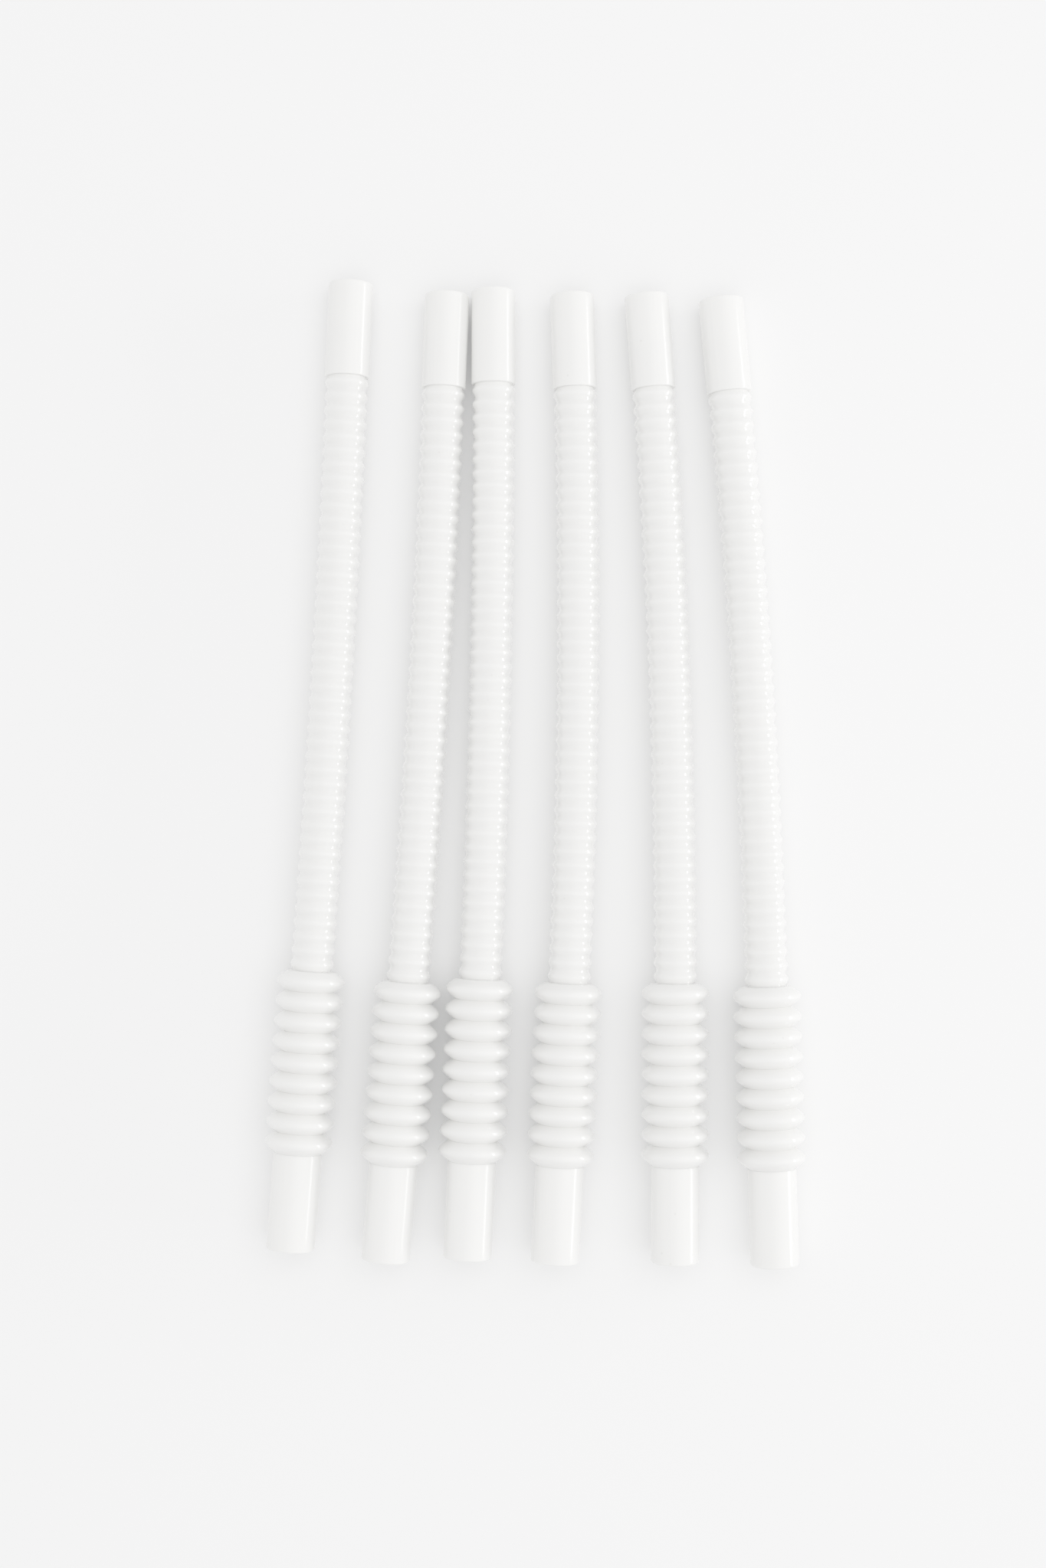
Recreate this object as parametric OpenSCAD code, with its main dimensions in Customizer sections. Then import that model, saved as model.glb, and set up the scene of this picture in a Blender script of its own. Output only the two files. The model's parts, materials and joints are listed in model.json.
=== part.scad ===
// A row of six flexible ribbed tubes that lie side by side, with a smooth sleeve on each end.
// +X runs across the row, +Y along the tubes towards their top sleeves, and +Z up from the table.

/* [Top sleeve] */
// Length of the smooth sleeve on the hose end
top_sleeve_length = 19.5; // [15:0.5:25]
// Outer radius of the top sleeve
top_sleeve_radius = 4.6; // [4.55:0.01:4.65]

/* [Ribbed hose] */
// Number of ribs in the upper half of the hose
upper_hose_ribs = 22; // [16:1:26]
// Number of ribs in the lower half of the hose
lower_hose_ribs = 21; // [16:1:26]
// Distance from one rib to the next
hose_pitch = 2.86; // [2.6:0.02:3]
// Radius over the rib crests
hose_crest_radius = 4.5; // [4.3:0.01:4.55]
// Radius at the bottom of the rib grooves
hose_groove_radius = 3.95; // [3.9:0.01:4.1]

/* [Bellows] */
// Number of ridges in the upper half of the bellows
upper_bellows_ridges = 5; // [3:1:6]
// Number of ridges in the lower half of the bellows
lower_bellows_ridges = 4; // [3:1:6]
// Distance from one ridge to the next
bellows_pitch = 4.15; // [3.8:0.05:4.4]
// Radius over the ridge crests
bellows_crest_radius = 7; // [6.5:0.05:7.05]
// Radius at the bottom of the bellows grooves
bellows_groove_radius = 5; // [4.5:0.05:5.4]

/* [Bottom sleeve] */
// Length of the smooth sleeve on the bellows end
bottom_sleeve_length = 20; // [15:0.5:25]
// Outer radius of the bottom sleeve
bottom_sleeve_radius = 5; // [4.9:0.05:5.4]

/* [Joints between pieces] */
// Radius of the bore that runs through every piece
bore_radius = 3.15; // [2.6:0.05:3.15]
// Length of the plain spigot that each sleeve is pushed over
spigot_length = 10; // [6:0.5:13]
// Wall of a spigot
spigot_wall = 0.75; // [0.5:0.05:0.8]
// Radial gap between a spigot and its sleeve
spigot_gap = 0.05; // [0.02:0.01:0.1]
// Edge break at a sleeve's mouth
mouth_round = 0.5; // [0.2:0.05:0.6]
// Each hose half stops this far short of the bend
hose_bend_gap = 0.35; // [0.3:0.01:0.4]
// Each bellows half stops this far short of the bend
bellows_bend_gap = 0.15; // [0.1:0.01:0.3]

/* [Row] */
// Place of each top end across the row
top_end_x = [-38.1, -18.2, -8.6, 7.7, 23.1, 38.4]; // [-60:0.1:60]
// Place of each top end along the row
top_end_y = [101.7, 99.4, 100.2, 99.3, 99.2, 98.4]; // [90:0.1:110]
// Direction of each top half in degrees, positive where its lower end leans to +X
top_heading = [-2.4, -2.2, 0, 1.6, 4.1, 5.3]; // [-6:0.1:6]
// Direction of each bottom half in degrees, positive where its lower end leans to +X
bottom_heading = [-4.3, -4.6, -2.6, -2.9, -0.1, 1.6]; // [-6:0.1:6]

/* [Hidden] */
$fn = 96;
rib_steps = 6;
ridge_steps = 8;
ridge_fullness = 0.5;
upper_hose_length = upper_hose_ribs * hose_pitch;
lower_hose_length = lower_hose_ribs * hose_pitch;
upper_bellows_length = upper_bellows_ridges * bellows_pitch;
lower_bellows_length = lower_bellows_ridges * bellows_pitch;
bellows_start = lower_hose_length;
bellows_bend = bellows_start + upper_bellows_length;
bellows_end = bellows_bend + lower_bellows_length;
top_half_length = upper_hose_length + top_sleeve_length;
// A tube stands on the bellows ridge next to the hose and on the rim of its top sleeve.
foot_spacing = top_half_length + lower_hose_length + bellows_pitch / 2;
pitch_angle = asin((bellows_crest_radius - top_sleeve_radius) / foot_spacing);
PIECES = ["top_sleeve", "upper_hose", "lower_hose", "upper_bellows", "lower_bellows", "bottom_sleeve"];

// Where the axis of tube n bends, at the middle of its hose
function bend_point(n) = [
    top_end_x[n] + top_half_length * cos(pitch_angle) * sin(top_heading[n]),
    top_end_y[n] - top_half_length * cos(pitch_angle) * cos(top_heading[n]),
    top_sleeve_radius * cos(pitch_angle) + top_half_length * sin(pitch_angle)
];

// Outline of a ribbed wall that starts in a groove, with its lowest point lifted to gap
function ribbed_edge(count, pitch, groove, crest, steps, fullness, gap) = [
    for (i = [0 : count * steps])
        [groove + (crest - groove) * pow((1 - cos(360 * i / steps)) / 2, fullness), max(gap, i * pitch / steps)]
];

module ribbed_tube(count, pitch, groove, crest, steps, fullness, gap) {
    edge = ribbed_edge(count, pitch, groove, crest, steps, fullness, gap);
    rotate_extrude()
        polygon(concat([[bore_radius, gap]], edge, [[bore_radius, count * pitch]]));
}

module spigot() {
    rotate_extrude()
        translate([bore_radius, 0])
            square([spigot_wall, spigot_length]);
}

module sleeve(radius, length) {
    socket_radius = bore_radius + spigot_wall + spigot_gap;
    rotate_extrude()
        polygon([
            [socket_radius, 0],
            [radius, 0],
            [radius, length - mouth_round],
            [radius - mouth_round / 3, length - mouth_round / 3],
            [radius - mouth_round, length],
            [bore_radius + mouth_round / 2, length],
            [bore_radius, length - mouth_round / 2],
            [bore_radius, spigot_length],
            [socket_radius, spigot_length]
        ]);
}

// Sets its children on tube n, from the bend of the hose towards the top end
module on_top_half(n) {
    translate(bend_point(n))
        rotate([-(90 + pitch_angle), 0, top_heading[n]])
            children();
}

// Sets its children on tube n, from the bend of the hose towards the bottom end
module on_bottom_half(n) {
    translate(bend_point(n))
        rotate([90 - pitch_angle, 0, bottom_heading[n]])
            children();
}

module top_sleeve(n) {
    color([0.95, 0.95, 0.94])
        on_top_half(n)
            translate([0, 0, upper_hose_length])
                sleeve(top_sleeve_radius, top_sleeve_length);
}

module upper_hose(n) {
    color([0.92, 0.92, 0.91])
        on_top_half(n)
            union() {
                ribbed_tube(upper_hose_ribs, hose_pitch, hose_groove_radius, hose_crest_radius,
                    rib_steps, 1, hose_bend_gap);
                translate([0, 0, upper_hose_length])
                    spigot();
            }
}

module lower_hose(n) {
    color([0.92, 0.92, 0.91])
        on_bottom_half(n)
            ribbed_tube(lower_hose_ribs, hose_pitch, hose_groove_radius, hose_crest_radius,
                rib_steps, 1, hose_bend_gap);
}

// The upper bellows half runs from the hose to the bend, so its outline is turned end for end.
module upper_bellows(n) {
    color([0.93, 0.93, 0.92])
        on_bottom_half(n)
            translate([0, 0, bellows_bend])
                mirror([0, 0, 1])
                    ribbed_tube(upper_bellows_ridges, bellows_pitch, bellows_groove_radius,
                        bellows_crest_radius, ridge_steps, ridge_fullness, bellows_bend_gap);
}

module lower_bellows(n) {
    color([0.93, 0.93, 0.92])
        on_bottom_half(n)
            union() {
                translate([0, 0, bellows_bend])
                    ribbed_tube(lower_bellows_ridges, bellows_pitch, bellows_groove_radius,
                        bellows_crest_radius, ridge_steps, ridge_fullness, bellows_bend_gap);
                translate([0, 0, bellows_end])
                    spigot();
            }
}

module bottom_sleeve(n) {
    color([0.95, 0.95, 0.94])
        on_bottom_half(n)
            translate([0, 0, bellows_end])
                sleeve(bottom_sleeve_radius, bottom_sleeve_length);
}

for (n = [0 : len(top_end_x) - 1]) {
    top_sleeve(n);
    upper_hose(n);
    lower_hose(n);
    upper_bellows(n);
    lower_bellows(n);
    bottom_sleeve(n);
}
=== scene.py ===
"""Dresses a row of flexible ribbed tubes in milky plastic, on a pale table.

Each tube has a fine-ribbed hose, a fatter bellows and a smooth sleeve on each end. The hose and
the bellows are grown by one geometry tree, and the sleeves are turned on a lathe. Lengths are in
metres.
"""

import json
import logging
import math
from dataclasses import dataclass
from enum import Enum

import bpy
from mathutils import Matrix, Vector


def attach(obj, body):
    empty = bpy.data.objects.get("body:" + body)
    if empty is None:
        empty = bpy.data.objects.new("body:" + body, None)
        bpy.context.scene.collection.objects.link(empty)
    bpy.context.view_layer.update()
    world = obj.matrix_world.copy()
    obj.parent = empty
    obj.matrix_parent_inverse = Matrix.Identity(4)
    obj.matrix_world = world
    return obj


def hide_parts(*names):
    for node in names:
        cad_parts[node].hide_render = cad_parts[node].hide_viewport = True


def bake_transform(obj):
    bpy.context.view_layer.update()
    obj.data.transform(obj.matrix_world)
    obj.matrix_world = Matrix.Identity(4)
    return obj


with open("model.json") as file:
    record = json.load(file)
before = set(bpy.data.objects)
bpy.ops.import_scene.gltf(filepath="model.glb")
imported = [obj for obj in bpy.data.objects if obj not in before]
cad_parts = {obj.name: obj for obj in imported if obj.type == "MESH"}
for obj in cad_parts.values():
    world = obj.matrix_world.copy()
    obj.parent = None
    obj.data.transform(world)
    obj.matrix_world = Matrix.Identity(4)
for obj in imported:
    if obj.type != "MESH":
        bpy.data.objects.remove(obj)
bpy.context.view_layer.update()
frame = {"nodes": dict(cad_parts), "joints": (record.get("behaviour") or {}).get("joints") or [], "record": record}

LOG = logging.getLogger("ribbed_tubes")
MM = 0.001
STRAIGHT = 0.0001  # an arc of this angle, in radians, passes for a straight axis
Socket = bpy.types.NodeSocket
Value = Socket | float | int
Colour = tuple[float, float, float]


class TreeKind(Enum):
    """The two kinds of node tree that this scene builds."""

    GEOMETRY = "GeometryNodeTree"
    SHADER = "ShaderNodeTree"


class Port(Enum):
    """The kinds of socket on a tree's interface."""

    SHAPE = "NodeSocketGeometry"
    NUMBER = "NodeSocketFloat"
    COUNT = "NodeSocketInt"
    VECTOR = "NodeSocketVector"
    MATERIAL = "NodeSocketMaterial"


class Formula:
    """Writes nodes and sums into one node tree, laid out in columns."""

    COLUMN_HEIGHT = 9
    SPACING = (190, 170)
    COLOUR_LOW, COLOUR_HIGH, COLOUR_MIXED = 6, 7, 2  # sockets of a Mix node that mixes colours

    def __init__(self, tree: bpy.types.NodeTree) -> None:
        """Starts writing into a tree.

        Args:
            tree: The tree that takes the nodes.
        """
        self.tree = tree

    def node(
        self, kind: str, inputs: dict[str, object] | None = None, **settings: object
    ) -> bpy.types.Node:
        """Adds a node and fills it in.

        Args:
            kind: The node's type name.
            inputs: A plain value or a socket for each input named.
            settings: Properties of the node.

        Returns:
            The new node.
        """
        made = self.tree.nodes.new(kind)
        column, row = divmod(len(self.tree.nodes), self.COLUMN_HEIGHT)
        made.location = (column * self.SPACING[0], -row * self.SPACING[1])
        for name, value in settings.items():
            setattr(made, name, value)
        for name, value in (inputs or {}).items():
            self.put(made.inputs[name], value)
        return made

    def put(self, socket: Socket, value: object) -> None:
        """Links a socket to another one, or sets its value.

        Args:
            socket: The input to fill.
            value: Another socket, or a plain value.
        """
        if isinstance(value, Socket):
            self.tree.links.new(value, socket)
        else:
            socket.default_value = value

    def math(self, operation: str, *values: Value) -> Socket:
        """Adds one math node.

        Args:
            operation: The node's operation.
            values: Its inputs in order, each a socket or a number.

        Returns:
            The socket that holds the result.
        """
        made = self.node("ShaderNodeMath", operation=operation)
        for socket, value in zip(made.inputs, values):
            self.put(socket, value)
        return made.outputs[0]

    def add(self, first: Value, second: Value) -> Socket:
        """Returns first + second."""
        return self.math("ADD", first, second)

    def take(self, first: Value, second: Value) -> Socket:
        """Returns first - second."""
        return self.math("SUBTRACT", first, second)

    def times(self, first: Value, second: Value) -> Socket:
        """Returns first * second."""
        return self.math("MULTIPLY", first, second)

    def over(self, first: Value, second: Value) -> Socket:
        """Returns first / second."""
        return self.math("DIVIDE", first, second)

    def pick(self, switch: Value, when_on: Value, when_off: Value) -> Socket:
        """Returns when_on where switch is 1 and when_off where it is 0."""
        return self.add(self.times(switch, self.take(when_on, when_off)), when_off)

    def mix(self, share: Value, low: object, high: object) -> Socket:
        """Mixes two colours.

        Args:
            share: How much of high there is, from 0 to 1.
            low: The colour or socket at 0.
            high: The colour or socket at 1.

        Returns:
            The mixed colour's socket.
        """
        made = self.node("ShaderNodeMix", {"Factor": share}, data_type="RGBA")
        self.put(made.inputs[self.COLOUR_LOW], low)
        self.put(made.inputs[self.COLOUR_HIGH], high)
        return made.outputs[self.COLOUR_MIXED]


def new_tree(
    name: str, kind: TreeKind, inputs: dict[str, Port], outputs: dict[str, Port]
) -> bpy.types.NodeTree:
    """Makes an empty node tree with a named interface.

    Args:
        name: The tree's name.
        kind: Geometry or shader.
        inputs: The kind of each input, by name.
        outputs: The kind of each output, by name.

    Returns:
        The new tree.
    """
    tree = bpy.data.node_groups.new(name, kind.value)
    for port_name, port in inputs.items():
        tree.interface.new_socket(name=port_name, in_out="INPUT", socket_type=port.value)
    for port_name, port in outputs.items():
        tree.interface.new_socket(name=port_name, in_out="OUTPUT", socket_type=port.value)
    return tree


# ---------------------------------------------------------------- shader groups


class SurfaceGroups:
    """The effects that more than one plastic uses, each built once as a shader group."""

    SCUFF_STRETCH = (1.0, 0.06, 1.0)
    SCUFF_RANGE = (0.62, 0.74)  # noise at which a scuff starts and is at its full strength
    SPECK_RANGE = (0.05, 0.03)  # distances from a cell's centre, at a speck's rim and within it

    def __init__(self) -> None:
        """Builds the groups."""
        self.skin = self._moulded_skin()
        self.marks = self._handling_marks()

    def _moulded_skin(self) -> bpy.types.NodeTree:
        """Builds the uneven skin of a moulding: slow clouds in the plastic, a fine texture on it.

        Returns:
            A group with the outputs Cloud, from 0 to 1, and Grain, a height from 0 to 1.
        """
        tree = new_tree(
            "moulded_skin",
            TreeKind.SHADER,
            {"Vector": Port.VECTOR, "Cloud scale": Port.NUMBER, "Grain scale": Port.NUMBER},
            {"Cloud": Port.NUMBER, "Grain": Port.NUMBER},
        )
        f = Formula(tree)
        given = f.node("NodeGroupInput").outputs
        cloud = f.node(
            "ShaderNodeTexNoise",
            {
                "Vector": given["Vector"],
                "Scale": given["Cloud scale"],
                "Detail": 4.0,
                "Distortion": 0.6,
            },
        )
        grain = f.node(
            "ShaderNodeTexNoise",
            {
                "Vector": given["Vector"],
                "Scale": given["Grain scale"],
                "Detail": 3.0,
                "Roughness": 0.6,
            },
        )
        f.node("NodeGroupOutput", {"Cloud": cloud.outputs[0], "Grain": grain.outputs[0]})
        return tree

    def _handling_marks(self) -> bpy.types.NodeTree:
        """Builds the marks of use: hairline scuffs along a tube and a few specks of dust.

        Returns:
            A group with the outputs Scuff and Speck, each a mask from 0 to 1.
        """
        tree = new_tree(
            "handling_marks",
            TreeKind.SHADER,
            {"Vector": Port.VECTOR, "Scuff scale": Port.NUMBER, "Speck scale": Port.NUMBER},
            {"Scuff": Port.NUMBER, "Speck": Port.NUMBER},
        )
        f = Formula(tree)
        given = f.node("NodeGroupInput").outputs
        stretched = f.node(
            "ShaderNodeMapping",
            {"Vector": given["Vector"], "Scale": self.SCUFF_STRETCH},
            vector_type="POINT",
        )
        lines = f.node(
            "ShaderNodeTexNoise",
            {
                "Vector": stretched.outputs[0],
                "Scale": given["Scuff scale"],
                "Detail": 5.0,
                "Roughness": 0.7,
            },
        )
        scuff = self._ramp(f, lines.outputs[0], self.SCUFF_RANGE)
        cells = f.node(
            "ShaderNodeTexVoronoi",
            {"Vector": given["Vector"], "Scale": given["Speck scale"]},
            feature="F1",
        )
        speck = self._ramp(f, cells.outputs["Distance"], self.SPECK_RANGE)
        f.node("NodeGroupOutput", {"Scuff": scuff, "Speck": speck})
        return tree

    @staticmethod
    def _ramp(f: Formula, value: Socket, span: tuple[float, float]) -> Socket:
        """Turns a value into a mask.

        Args:
            f: The tree to write into.
            value: The value.
            span: Where the mask is 0 and where it is 1.

        Returns:
            The mask.
        """
        limits = {"From Min": span[0], "From Max": span[1]}
        return f.node("ShaderNodeMapRange", {"Value": value} | limits).outputs[0]


# ---------------------------------------------------------------- finishes


@dataclass(frozen=True)
class MilkyPlastic:
    """A milky white moulded plastic that lets a little light through.

    Attributes:
        name: The material's name.
        body: Colour of the plastic.
        groove_shade_and_dust: Colour low in a groove: painted shade in the recess, mixed with the dust that
            gathers there.
        gloss: Roughness of clean plastic.
        dull: Roughness where the skin is cloudy or rubbed.
        coat: Strength of a thin glossy skin over the plastic.
        glow: Share of light that passes under the surface.
        depth: How far that light travels.
        grain_height: Height of the fine mould texture.
    """

    REFRACTION = 1.49
    EVEN_GLOW = (1.0, 1.0, 1.0)  # light of every colour travels as far
    DUST = (0.6, 0.58, 0.54, 1.0)
    SKIN_SCALES = {"Cloud scale": 70.0, "Grain scale": 2400.0}
    MARK_SCALES = {"Scuff scale": 900.0, "Speck scale": 160.0}
    CLOUD_SHADE, CLOUD_SHARE, SPECK_SHARE = 0.93, 0.15, 0.25
    CLOUD_DULLING, CREST_DULLING, SCUFF_DULLING = 0.3, 0.25, 0.5
    SCUFF_DEPTH, BUMP_STRENGTH = 0.6, 0.6

    name: str
    body: Colour
    groove_shade_and_dust: Colour
    gloss: float
    dull: float
    coat: float
    glow: float = 0.35
    depth: float = 0.7 * MM
    grain_height: float = 0.012 * MM

    def build(self, groups: SurfaceGroups) -> bpy.types.Material:
        """Builds the material.

        Args:
            groups: The shared surface effects.

        Returns:
            The new material.
        """
        made = bpy.data.materials.new(self.name)
        made.use_nodes = True
        made.node_tree.nodes.clear()
        f = Formula(made.node_tree)
        place = f.node("ShaderNodeTexCoord").outputs["Object"]
        skin = self._effect(f, groups.skin, {"Vector": place} | self.SKIN_SCALES)
        marks = self._effect(f, groups.marks, {"Vector": place} | self.MARK_SCALES)
        rib = f.node("ShaderNodeAttribute", attribute_name="rib").outputs["Fac"]
        # Grooves take the darker groove colour: painted shade in the recesses, mixed with dust.
        wall = f.mix(rib, (*self.groove_shade_and_dust, 1.0), (*self.body, 1.0))
        shaded = (*(channel * self.CLOUD_SHADE for channel in self.body), 1.0)
        clouded = f.mix(f.times(skin["Cloud"], self.CLOUD_SHARE), wall, shaded)
        dusty = f.mix(f.times(marks["Speck"], self.SPECK_SHARE), clouded, self.DUST)
        scuffed = f.times(marks["Scuff"], self.SCUFF_DULLING)
        rubbed = f.add(f.times(rib, self.CREST_DULLING), scuffed)
        dulled = f.add(f.times(skin["Cloud"], self.CLOUD_DULLING), rubbed)
        dulled.node.use_clamp = True
        roughness = f.pick(dulled, self.dull, self.gloss)
        bump = f.node(
            "ShaderNodeBump",
            {
                "Height": f.take(skin["Grain"], f.times(marks["Scuff"], self.SCUFF_DEPTH)),
                "Distance": self.grain_height,
                "Strength": self.BUMP_STRENGTH,
            },
        )
        shader = f.node(
            "ShaderNodeBsdfPrincipled",
            {
                "Base Color": dusty,
                "Roughness": roughness,
                "Normal": bump.outputs[0],
                "IOR": self.REFRACTION,
                "Coat Weight": self.coat,
                "Coat Roughness": self.gloss,
                "Subsurface Weight": self.glow,
                "Subsurface Radius": self.EVEN_GLOW,
                "Subsurface Scale": self.depth,
            },
        )
        f.node("ShaderNodeOutputMaterial", {"Surface": shader.outputs[0]})
        return made

    @staticmethod
    def _effect(
        f: Formula, tree: bpy.types.NodeTree, inputs: dict[str, Value]
    ) -> bpy.types.NodeOutputs:
        """Places a shared effect in the material.

        Args:
            f: The material's tree.
            tree: The effect's shader group.
            inputs: A value or a socket for each input.

        Returns:
            The effect's outputs.
        """
        made = f.node("ShaderNodeGroup", node_tree=tree)
        for name, value in inputs.items():
            f.put(made.inputs[name], value)
        return made.outputs


@dataclass(frozen=True)
class TableTop:
    """The pale table that the tubes lie on.

    Attributes:
        colour: Colour of the table.
        roughness: Its roughness.
    """

    colour: Colour = (0.95, 0.95, 0.95)
    roughness: float = 0.55

    def build(self) -> bpy.types.Material:
        """Builds the table's material.

        Returns:
            The new material.
        """
        made = bpy.data.materials.new("pale_table")
        made.use_nodes = True
        made.node_tree.nodes.clear()
        f = Formula(made.node_tree)
        shader = f.node(
            "ShaderNodeBsdfPrincipled",
            {"Base Color": (*self.colour, 1.0), "Roughness": self.roughness},
        )
        f.node("ShaderNodeOutputMaterial", {"Surface": shader.outputs[0]})
        return made


# ---------------------------------------------------------------- shapes


class CorrugatedWall:
    """The geometry tree that grows a ribbed, thin-walled tube along a gentle arc."""

    SPIGOT_STEPS = 4
    WELD = 0.01 * MM
    CREASE = math.radians(60)
    INPUTS = {
        "Ribs": Port.COUNT,
        "Steps per rib": Port.COUNT,
        "Steps around": Port.COUNT,
        "Pitch": Port.NUMBER,
        "Groove radius": Port.NUMBER,
        "Crest radius": Port.NUMBER,
        "Fullness": Port.NUMBER,
        "Wall": Port.NUMBER,
        "Hole radius": Port.NUMBER,
        "Spigot length": Port.NUMBER,
        "Spigot radius": Port.NUMBER,
        "Seam height": Port.NUMBER,
        "Seam turn": Port.NUMBER,
        "Arc angle": Port.NUMBER,
        "Arc length": Port.NUMBER,
        "Material": Port.MATERIAL,
    }

    def __init__(self) -> None:
        """Builds the tree from a flat grid.

        The grid's rows run down the outside of the wall and back up its inside, and its columns run
        round the tube.
        """
        self.tree = new_tree(
            "corrugated_wall",
            TreeKind.GEOMETRY,
            {"Start": Port.SHAPE} | self.INPUTS,
            {"Geometry": Port.SHAPE},
        )
        f = Formula(self.tree)
        given = f.node("NodeGroupInput").outputs
        ribbed_rows = f.times(given["Ribs"], given["Steps per rib"])
        last_row = f.add(ribbed_rows, self.SPIGOT_STEPS)
        loop_rows = f.add(f.times(last_row, 2), 2)
        grid = f.node(
            "GeometryNodeMeshGrid",
            {
                "Size X": 1.0,
                "Size Y": 1.0,
                "Vertices X": f.add(loop_rows, 1),
                "Vertices Y": f.add(given["Steps around"], 1),
            },
        )
        position = f.node("GeometryNodeInputPosition").outputs[0]
        flat = f.node("ShaderNodeSeparateXYZ", {"Vector": position})
        row = f.math("ROUND", f.times(f.add(flat.outputs["X"], 0.5), loop_rows))
        column = f.math("ROUND", f.times(f.add(flat.outputs["Y"], 0.5), given["Steps around"]))

        # Whole numbers are compared at a half step, where rounding can't upset them.
        looped = f.math("MODULO", row, loop_rows)
        inside = f.math("GREATER_THAN", looped, f.add(last_row, 0.5))
        step = f.pick(inside, f.take(f.take(loop_rows, 1), looped), looped)
        ribbed = f.math("LESS_THAN", step, f.add(ribbed_rows, 0.5))
        wave = self._wave(f, given, step)
        crest = f.times(ribbed, wave)
        along = self._distance(f, given, step, ribbed_rows)
        wall_radius = self._radius(f, given, ribbed, crest, inside, column)
        on_rim = f.times(inside, f.math("LESS_THAN", step, 0.5))
        radius = f.pick(on_rim, given["Hole radius"], wall_radius)
        place = self._place(f, given, radius, along, column)

        named = grid.outputs["Mesh"]
        for name, value in (("rib", crest), ("along", along)):
            stored = f.node(
                "GeometryNodeStoreNamedAttribute",
                {"Geometry": named, "Name": name, "Value": value},
                data_type="FLOAT",
                domain="POINT",
            )
            named = stored.outputs["Geometry"]
        placed = f.node("GeometryNodeSetPosition", {"Geometry": named, "Position": place})
        welded = f.node(
            "GeometryNodeMergeByDistance", {"Geometry": placed.outputs[0], "Distance": self.WELD}
        )
        smooth = f.node("GeometryNodeSetShadeSmooth", {"Geometry": welded.outputs[0]})
        real = f.node("GeometryNodeRealizeInstances", {"Geometry": smooth.outputs[0]})
        dressed = f.node(
            "GeometryNodeSetMaterial", {"Geometry": real.outputs[0], "Material": given["Material"]}
        )
        f.node("NodeGroupOutput", {"Geometry": dressed.outputs[0]})

    @staticmethod
    def _wave(f: Formula, given: bpy.types.NodeOutputs, step: Socket) -> Socket:
        """Works out the wave of the ribs.

        Args:
            f: The tree to write into.
            given: The tree's inputs.
            step: Steps along the wall.

        Returns:
            The height of the wave, 0 in a groove and 1 on a crest.
        """
        phase = f.over(f.times(step, math.tau), given["Steps per rib"])
        swing = f.over(f.take(1.0, f.math("COSINE", phase)), 2.0)
        return f.math("POWER", f.math("MAXIMUM", swing, 0.0), given["Fullness"])

    def _distance(
        self, f: Formula, given: bpy.types.NodeOutputs, step: Socket, ribbed_rows: Socket
    ) -> Socket:
        """Works out the distance along the axis, over the ribs and then the spigot.

        Args:
            f: The tree to write into.
            given: The tree's inputs.
            step: Steps along the wall.
            ribbed_rows: The step at which the ribs end.

        Returns:
            The distance.
        """
        rib_step = f.over(given["Pitch"], given["Steps per rib"])
        on_ribs = f.times(f.math("MINIMUM", step, ribbed_rows), rib_step)
        spigot_steps = f.math("MAXIMUM", f.take(step, ribbed_rows), 0.0)
        spigot_step = f.over(given["Spigot length"], self.SPIGOT_STEPS)
        return f.add(on_ribs, f.times(spigot_steps, spigot_step))

    @staticmethod
    def _radius(
        f: Formula,
        given: bpy.types.NodeOutputs,
        ribbed: Socket,
        crest: Socket,
        inside: Socket,
        column: Socket,
    ) -> Socket:
        """Works out the distance from the axis, with a seam on two sides of the outer skin.

        Args:
            f: The tree to write into.
            given: The tree's inputs.
            ribbed: 1 on the ribs and 0 on the spigot.
            crest: The height of the wave of the ribs.
            inside: 1 on the inner skin and 0 on the outer one.
            column: Steps round the tube.

        Returns:
            The distance.
        """
        rise = f.times(f.take(given["Crest radius"], given["Groove radius"]), crest)
        outer = f.pick(ribbed, f.add(given["Groove radius"], rise), given["Spigot radius"])
        half_turn = f.over(given["Steps around"], 2.0)
        seam = f.math("LESS_THAN", f.math("MODULO", f.add(column, 0.25), half_turn), 0.5)
        flash = f.times(f.times(seam, given["Seam height"]), f.take(1.0, inside))
        return f.add(f.take(outer, f.times(inside, given["Wall"])), flash)

    @staticmethod
    def _place(
        f: Formula, given: bpy.types.NodeOutputs, radius: Socket, along: Socket, column: Socket
    ) -> Socket:
        """Sets a point round an axis that follows an arc in XY and then runs straight on.

        Args:
            f: The tree to write into.
            given: The tree's inputs.
            radius: The point's distance from the axis.
            along: Its distance along the axis.
            column: Steps round the tube.

        Returns:
            Its position.
        """
        on_arc = f.math("MINIMUM", along, given["Arc length"])
        beyond = f.math("MAXIMUM", f.take(along, given["Arc length"]), 0.0)
        turned = f.over(f.times(given["Arc angle"], on_arc), given["Arc length"])
        arc_radius = f.over(given["Arc length"], given["Arc angle"])
        sine, cosine = f.math("SINE", turned), f.math("COSINE", turned)
        angle = f.add(f.over(f.times(column, math.tau), given["Steps around"]), given["Seam turn"])
        across = f.times(radius, f.math("COSINE", angle))
        axis_x = f.add(f.times(arc_radius, f.take(1.0, cosine)), f.times(beyond, sine))
        axis_y = f.add(f.times(arc_radius, sine), f.times(beyond, cosine))
        place = f.node(
            "ShaderNodeCombineXYZ",
            {
                "X": f.add(axis_x, f.times(across, cosine)),
                "Y": f.take(axis_y, f.times(across, sine)),
                "Z": f.times(radius, f.math("SINE", angle)),
            },
        )
        return place.outputs[0]

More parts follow.
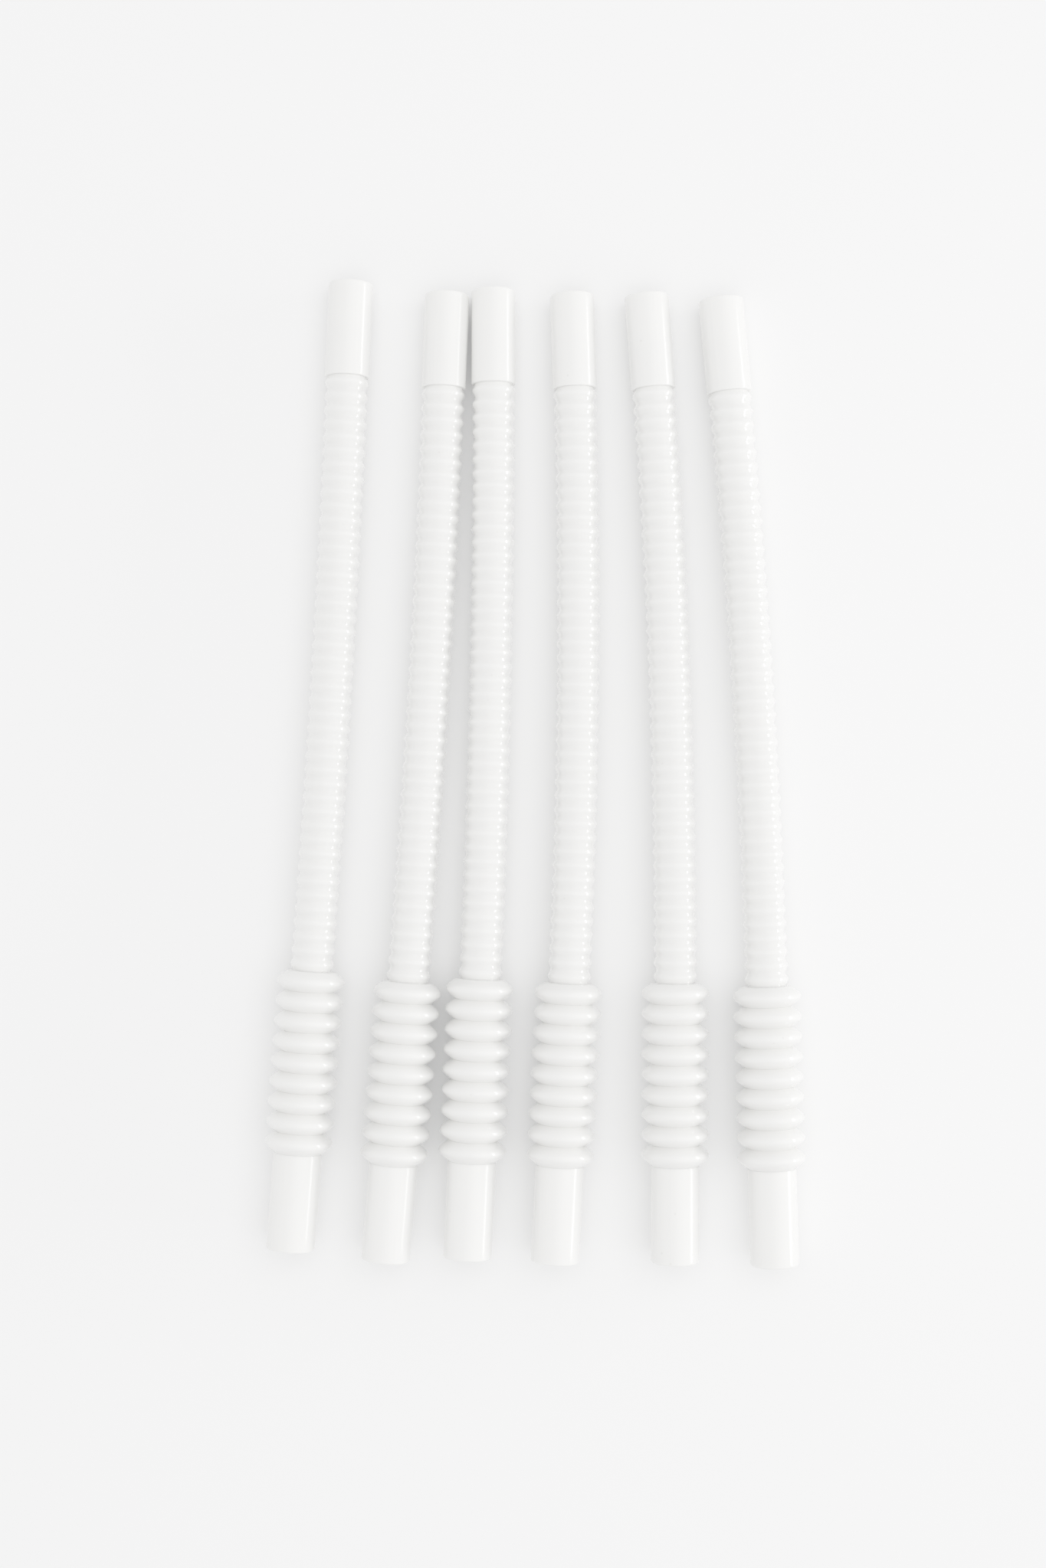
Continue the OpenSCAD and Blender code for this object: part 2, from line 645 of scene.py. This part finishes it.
    def grow(self, name: str, values: dict[str, object], stand: Matrix) -> bpy.types.Object:
        """Grows one tube and keeps it as a plain mesh.

        Args:
            name: The piece's name.
            values: A value for each named input of the tree.
            stand: Takes the tree's own axes to the row's.

        Returns:
            The finished piece, with its place in its mesh.
        """
        piece = bpy.data.objects.new(name, bpy.data.meshes.new(name))
        bpy.context.scene.collection.objects.link(piece)
        grower = piece.modifiers.new("corrugated_wall", "NODES")
        grower.node_group = self.tree
        for item in self.tree.interface.items_tree:
            if item.item_type == "SOCKET" and item.in_out == "INPUT" and item.name in values:
                grower[item.identifier] = values[item.name]
        piece.update_tag()
        bpy.context.view_layer.update()
        evaluated = piece.evaluated_get(bpy.context.evaluated_depsgraph_get())
        grown = bpy.data.meshes.new_from_object(evaluated)
        piece.modifiers.remove(grower)
        piece.data = grown
        grown.name = name
        grown.transform(stand)
        grown.set_sharp_from_angle(angle=self.CREASE)
        return piece


@dataclass(frozen=True)
class Route:
    """Where one tube lies.

    Attributes:
        bend: The point where the axes of its two halves meet.
        up: Direction from the bend to the top end.
        down: Direction from the bend to the bottom end.
    """

    bend: Vector
    up: Vector
    down: Vector

    @classmethod
    def of_tube(cls, number: int) -> "Route":
        """Reads a tube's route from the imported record.

        Args:
            number: The tube's number.

        Returns:
            Its route.
        """
        mounts = {mount["name"]: mount for mount in frame["record"]["mounts"]}
        joints = {joint["name"]: joint for joint in frame["joints"]}
        return cls(
            Vector(joints[f"hose_bend_{number}"]["pos_m"]),
            Vector(mounts[f"top_mouth_{number}"]["axis"]).normalized(),
            Vector(mounts[f"bottom_mouth_{number}"]["axis"]).normalized(),
        )

    def stand(self, start: Vector, forward: Vector, towards: Vector) -> Matrix:
        """Makes a matrix that stands a piece at start with its +Y along forward.

        Args:
            start: Where the piece's own origin goes.
            forward: Where its +Y points.
            towards: Its +X leans to this direction.

        Returns:
            The matrix.
        """
        aside = (towards - forward * towards.dot(forward)).normalized()
        turned = Matrix((aside, forward, aside.cross(forward))).transposed()
        return Matrix.Translation(start) @ turned.to_4x4()


@dataclass(frozen=True)
class Corrugation:
    """A ribbed stretch of tube.

    Attributes:
        ribs: How many ribs it has.
        pitch: Distance from rib to rib.
        crest_radius: Radius over the crests.
        groove_radius: Radius in the grooves.
        wall: Thickness of the wall.
        hole_radius: Radius of the hole in its flat end.
        fullness: Below 1 widens the crests, 1 is an even wave.
        rib_steps: Rows of faces on each rib.
        around_steps: Faces around the tube.
        seam_height: How far the moulding seam stands out.
    """

    ribs: int
    pitch: float
    crest_radius: float
    groove_radius: float
    wall: float
    hole_radius: float
    fullness: float
    rib_steps: int
    around_steps: int
    seam_height: float = 0.04 * MM

    @property
    def length(self) -> float:
        """Length of the ribbed stretch."""
        return self.ribs * self.pitch

    def values(
        self, spigot: "Spigot", seam_turn: float, finish: bpy.types.Material
    ) -> dict[str, object]:
        """Lists the tree's inputs for this stretch, with a straight axis.

        Args:
            spigot: The plain end that follows the ribs.
            seam_turn: Where the moulding seam lies round the tube, in radians.
            finish: The stretch's material.

        Returns:
            A value for each named input.
        """
        return {
            "Ribs": self.ribs,
            "Steps per rib": self.rib_steps,
            "Steps around": self.around_steps,
            "Pitch": self.pitch,
            "Groove radius": self.groove_radius,
            "Crest radius": self.crest_radius,
            "Fullness": self.fullness,
            "Wall": self.wall,
            "Hole radius": self.hole_radius,
            "Spigot length": spigot.length,
            "Spigot radius": spigot.radius,
            "Seam height": self.seam_height,
            "Seam turn": seam_turn,
            "Arc angle": STRAIGHT,
            "Arc length": self.length,
            "Material": finish,
        }


@dataclass(frozen=True)
class Spigot:
    """The plain end of a ribbed tube that a sleeve is pushed over.

    Attributes:
        radius: Its radius.
        length: Its length.
        gap: Radial gap between it and the sleeve.
    """

    radius: float = 3.9 * MM
    length: float = 10 * MM
    gap: float = 0.05 * MM


@dataclass(frozen=True)
class Sleeve:
    """A smooth end sleeve, turned from its outline.

    Attributes:
        radius: Outer radius.
        length: Length along the tube.
        bore: Radius of the open bore.
        lip: Rounding of the outer edge at the mouth; the inner edge has half of it.
        edge: Rounding of the edge that meets the ribs.
        seam_height: How far the moulding seam stands out.
        skirt_steps: Rows of faces along the outside.
        around_steps: Faces around the sleeve.
    """

    CREASE = math.radians(35)

    radius: float
    length: float
    bore: float = 3.15 * MM
    lip: float = 0.5 * MM
    edge: float = 0.25 * MM
    seam_height: float = 0.03 * MM
    skirt_steps: int = 6
    around_steps: int = 96

    def outline(self, spigot: Spigot) -> list[tuple[float, float]]:
        """Works out the closed outline, as radius and distance from the ribbed end.

        Args:
            spigot: The plain end that it is pushed over.

        Returns:
            The outline's points, down the outside and back along the bore.
        """
        socket = spigot.radius + spigot.gap
        inner = self.lip / 2
        skirt_step = self.length / self.skirt_steps
        skirt = [(self.radius, skirt_step * step) for step in range(1, self.skirt_steps)]
        return (
            arc(self.radius - self.edge, self.edge, self.edge, -90, 0, steps=4)
            + skirt
            + arc(self.radius - self.lip, self.length - self.lip, self.lip, 0, 90, steps=8)
            + arc(self.bore + inner, self.length - inner, inner, 90, 180, steps=5)
            + [(self.bore, spigot.length), (socket, spigot.length), (socket, 0.0)]
        )

    def turn(
        self, name: str, spigot: Spigot, stand: Matrix, seam_turn: float, finish: bpy.types.Material
    ) -> bpy.types.Object:
        """Turns the sleeve on a lathe.

        Args:
            name: The piece's name.
            spigot: The plain end that it is pushed over.
            stand: Takes the sleeve's own axes, with +Y along it, to the row's.
            seam_turn: Where the moulding seam lies round the tube, in radians.
            finish: The sleeve's material.

        Returns:
            The finished sleeve.
        """
        outline = self.outline(spigot)
        half_turn = self.around_steps // 2
        points, faces = [], []
        for column in range(self.around_steps):
            angle = seam_turn + math.tau * column / self.around_steps
            flash = self.seam_height if column % half_turn == 0 else 0.0
            for radius, along in outline:
                spread = radius + (flash if radius >= self.radius else 0.0)
                points.append((spread * math.cos(angle), along, spread * math.sin(angle)))
        rows = len(outline)
        for column in range(self.around_steps):
            here, there = column * rows, (column + 1) % self.around_steps * rows
            for row in range(rows):
                after = (row + 1) % rows
                faces.append((here + row, here + after, there + after, there + row))
        mesh = bpy.data.meshes.new(name)
        mesh.from_pydata(points, [], faces)
        mesh.transform(stand)
        mesh.materials.append(finish)
        mesh.shade_smooth()
        mesh.set_sharp_from_angle(angle=self.CREASE)
        rib = mesh.attributes.new("rib", "FLOAT", "POINT")
        rib.data.foreach_set("value", [1.0] * len(mesh.vertices))
        piece = bpy.data.objects.new(name, mesh)
        bpy.context.scene.collection.objects.link(piece)
        return piece


def arc(
    centre_radius: float, centre_along: float, size: float, start: float, end: float, steps: int
) -> list[tuple[float, float]]:
    """Works out the points along a round edge of an outline.

    Args:
        centre_radius: Distance of its centre from the axis.
        centre_along: Distance of its centre along the axis.
        size: Radius of the round.
        start: Angle of the first point in degrees, from the outward direction to the mouth.
        end: Angle of the last point.
        steps: Number of steps between them.

    Returns:
        Pairs of radius and distance along the axis.
    """
    angles = [math.radians(start + (end - start) * step / steps) for step in range(steps + 1)]
    return [(centre_radius + size * math.cos(a), centre_along + size * math.sin(a)) for a in angles]


# ---------------------------------------------------------------- the tubes


@dataclass
class RibbedTube:
    """One flexible tube: hose, bellows and two sleeves.

    Attributes:
        number: The tube's number in the row.
        wall: The geometry tree that grows the hose and the bellows.
        hose: The fine-ribbed stretch.
        bellows: The fat stretch.
        top_sleeve: The sleeve on the hose end.
        bottom_sleeve: The sleeve on the bellows end.
        spigot: The plain end inside each sleeve.
        upper_ribs: Ribs between the hose's bend and its top sleeve.
        upper_ridges: Bellows ridges between the hose and the bellows' bend; not used.
        hose_reach: How far a bend of the hose spreads from its hinge, below it and above it; not used.
        bellows_reach: How far a bend of the bellows spreads from its hinge, above it and below it; not used.
    """

    FIRST_SEAM, SEAM_STEP = 20, 47  # degrees, so that no two neighbours show their seams alike

    number: int
    wall: CorrugatedWall
    hose: Corrugation = Corrugation(
        ribs=43,
        pitch=2.86 * MM,
        crest_radius=4.5 * MM,
        groove_radius=3.95 * MM,
        wall=0.6 * MM,
        hole_radius=3.35 * MM,
        fullness=1.0,
        rib_steps=10,
        around_steps=48,
    )
    bellows: Corrugation = Corrugation(
        ribs=9,
        pitch=4.15 * MM,
        crest_radius=7.0 * MM,
        groove_radius=5.0 * MM,
        wall=0.75 * MM,
        hole_radius=3.3 * MM,
        fullness=0.5,
        rib_steps=16,
        around_steps=64,
    )
    top_sleeve: Sleeve = Sleeve(radius=4.6 * MM, length=19.5 * MM)
    bottom_sleeve: Sleeve = Sleeve(radius=5.0 * MM, length=20 * MM)
    spigot: Spigot = Spigot()
    upper_ribs: int = 22
    upper_ridges: int = 5
    hose_reach: tuple[float, float] = (14 * MM, 16 * MM)
    bellows_reach: tuple[float, float] = (8 * MM, 14 * MM)

    def __post_init__(self) -> None:
        """Works out the tube's route and where its moulding seam lies."""
        self.route = Route.of_tube(self.number)
        self.seam_turn = math.radians(self.FIRST_SEAM + self.SEAM_STEP * self.number)
        self.side = self.route.down.cross(Vector((0, 0, 1))).normalized()
        self.lower_length = (self.hose.ribs - self.upper_ribs) * self.hose.pitch

    def build(self, finishes: dict[str, bpy.types.Material]) -> None:
        """Makes the tube's four pieces and hangs the two sleeves on their bodies.

        Args:
            finishes: The materials of the sleeve, hose and bellows.
        """
        for piece in (
            self.build_hose(finishes["hose"]),
            self.build_bellows(finishes["bellows"]),
            self.build_top_sleeve(finishes["sleeve"]),
            self.build_bottom_sleeve(finishes["sleeve"]),
        ):
            LOG.info("%s has %d faces", piece.name, len(piece.data.polygons))

    def build_hose(self, finish: bpy.types.Material) -> bpy.types.Object:
        """Grows the hose on an arc that leaves each end in that end's own direction.

        Args:
            finish: The hose's material.

        Returns:
            The hose.
        """
        route = self.route
        forward = -route.down
        angle = max(forward.angle(route.up), STRAIGHT)
        arc_length = self.lower_length / math.tan(angle / 2) * angle
        values = self.hose.values(self.spigot, self.seam_turn, finish)
        values |= {"Arc angle": angle, "Arc length": arc_length}
        start = route.bend + route.down * self.lower_length
        stand = route.stand(start, forward, route.up)
        hose = self.wall.grow(f"hose_{self.number}", values, stand)
        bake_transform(hose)
        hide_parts(f"lower_hose_{self.number}", f"upper_hose_{self.number}")
        return hose

    def build_bellows(self, finish: bpy.types.Material) -> bpy.types.Object:
        """Grows the bellows along the straight bottom half.

        Args:
            finish: The bellows' material.

        Returns:
            The bellows.
        """
        down = self.route.down
        start = self.route.bend + down * self.lower_length
        values = self.bellows.values(self.spigot, self.seam_turn, finish)
        stand = self.route.stand(start, down, self.side)
        bellows = self.wall.grow(f"bellows_{self.number}", values, stand)
        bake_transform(bellows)
        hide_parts(f"upper_bellows_{self.number}", f"lower_bellows_{self.number}")
        return bellows

    def build_top_sleeve(self, finish: bpy.types.Material) -> bpy.types.Object:
        """Turns the sleeve on the hose end.

        Args:
            finish: The sleeve's material.

        Returns:
            The sleeve.
        """
        up = self.route.up
        start = self.route.bend + up * self.upper_ribs * self.hose.pitch
        stand = self.route.stand(start, up, self.side)
        sleeve = self.top_sleeve.turn(
            f"top_sleeve_{self.number}.skin", self.spigot, stand, self.seam_turn, finish
        )
        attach(sleeve, f"tube_{self.number}_top")
        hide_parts(f"top_sleeve_{self.number}")
        return sleeve

    def build_bottom_sleeve(self, finish: bpy.types.Material) -> bpy.types.Object:
        """Turns the sleeve on the bellows end.

        Args:
            finish: The sleeve's material.

        Returns:
            The sleeve.
        """
        down = self.route.down
        start = self.route.bend + down * (self.lower_length + self.bellows.length)
        stand = self.route.stand(start, down, self.side)
        sleeve = self.bottom_sleeve.turn(
            f"bottom_sleeve_{self.number}.skin", self.spigot, stand, self.seam_turn, finish
        )
        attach(sleeve, f"tube_{self.number}_tip")
        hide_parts(f"bottom_sleeve_{self.number}")
        return sleeve


# ---------------------------------------------------------------- the studio


@dataclass(frozen=True)
class SoftLight:
    """A rectangular studio light.

    Attributes:
        name: The light's name.
        place: Where it stands.
        aim: The point that it faces.
        size: Its width and height.
        power: Its power in watts.
        mirrored: Whether glossy surfaces mirror it; a light that isn't mirrored is soft fill.
    """

    name: str
    place: tuple[float, float, float]
    aim: tuple[float, float, float]
    size: tuple[float, float]
    power: float
    mirrored: bool

    def build(self) -> None:
        """Adds the light to the scene."""
        lamp = bpy.data.lights.new(self.name, "AREA")
        lamp.shape = "RECTANGLE"
        lamp.size, lamp.size_y = self.size
        lamp.energy = self.power
        stand = bpy.data.objects.new(self.name, lamp)
        stand.location = self.place
        stand.visible_glossy = self.mirrored
        facing = Vector(self.aim) - Vector(self.place)
        stand.rotation_euler = facing.to_track_quat("-Z", "Y").to_euler()
        bpy.context.scene.collection.objects.link(stand)


@dataclass(frozen=True)
class Studio:
    """The table, the lights, the white surroundings and the camera.

    Attributes:
        view_centre: The point on the table under the camera.
        view_height: Height of the camera above the table.
        lens: Focal length of the camera in millimetres.
        table_reach: How far the table reaches from its middle.
        sky: Brightness of the white surroundings.
        tone: Gamma of the finished picture, above 1 for a light, airy one.
        lights: The studio lights.
    """

    view_centre: tuple[float, float] = (-2.5 * MM, -2.0 * MM)
    view_height: float = 456 * MM
    lens: float = 50.0
    table_reach: float = 1.6
    sky: float = 0.56
    tone: float = 2.2
    lights: tuple[SoftLight, ...] = (
        SoftLight(
            "side_window",
            place=(0.85, 0.0, 0.15),
            aim=(0, 0, 0),
            size=(0.7, 0.16),
            power=1.8,
            mirrored=True,
        ),
        SoftLight(
            "overhead_panel",
            place=(0.2, 0.05, 1.1),
            aim=(0, 0, 0),
            size=(1.3, 1.3),
            power=5.2,
            mirrored=False,
        ),
    )

    def build(self) -> None:
        """Sets the stage."""
        self._table()
        self._surroundings()
        self._camera()
        for light in self.lights:
            light.build()

    def _table(self) -> None:
        """Adds the table top."""
        reach = self.table_reach
        corners = [(-reach, -reach, 0), (reach, -reach, 0), (reach, reach, 0), (-reach, reach, 0)]
        mesh = bpy.data.meshes.new("table_top")
        mesh.from_pydata(corners, [], [(0, 1, 2, 3)])
        mesh.materials.append(TableTop().build())
        table = bpy.data.objects.new("table_top", mesh)
        bpy.context.scene.collection.objects.link(table)

    def _surroundings(self) -> None:
        """Lights the scene evenly from a white world."""
        world = bpy.data.worlds.new("white_surroundings")
        world.use_nodes = True
        background = world.node_tree.nodes["Background"]
        background.inputs["Color"].default_value = (1.0, 1.0, 1.0, 1.0)
        background.inputs["Strength"].default_value = self.sky
        bpy.context.scene.world = world
        bpy.context.scene.view_settings.view_transform = "Standard"
        bpy.context.scene.view_settings.gamma = self.tone

    def _camera(self) -> None:
        """Adds the camera, straight above the row."""
        camera = bpy.data.cameras.new("overhead_camera")
        camera.lens = self.lens
        camera.clip_start = 0.01
        stand = bpy.data.objects.new("overhead_camera", camera)
        stand.location = (*self.view_centre, self.view_height)
        bpy.context.scene.collection.objects.link(stand)
        bpy.context.scene.camera = stand


def main() -> None:
    """Builds the finishes, the tubes and the stage."""
    logging.basicConfig(level=logging.INFO, format="%(name)s: %(message)s")
    wall = CorrugatedWall()
    groups = SurfaceGroups()
    clean = (0.9, 0.896, 0.874)
    # Each plastic's second colour darkens its grooves: painted shade, mixed with dust.
    plastics = {
        "sleeve": MilkyPlastic(
            "sleeve_plastic", clean, (0.88, 0.875, 0.855), gloss=0.1, dull=0.25, coat=0.0
        ),
        "hose": MilkyPlastic(
            "hose_plastic",
            clean,
            (0.895, 0.891, 0.867),
            gloss=0.08,
            dull=0.16,
            coat=1.0,
            grain_height=0.005 * MM,
        ),
        "bellows": MilkyPlastic(
            "bellows_plastic", clean, (0.87, 0.864, 0.838), gloss=0.08, dull=0.2, coat=0.6
        ),
    }
    finishes = {part: plastic.build(groups) for part, plastic in plastics.items()}
    tube_count = sum(name.startswith("top_sleeve_") for name in frame["nodes"])
    for number in range(1, tube_count + 1):
        RibbedTube(number, wall).build(finishes)
    Studio().build()


if __name__ == "__main__":
    main()
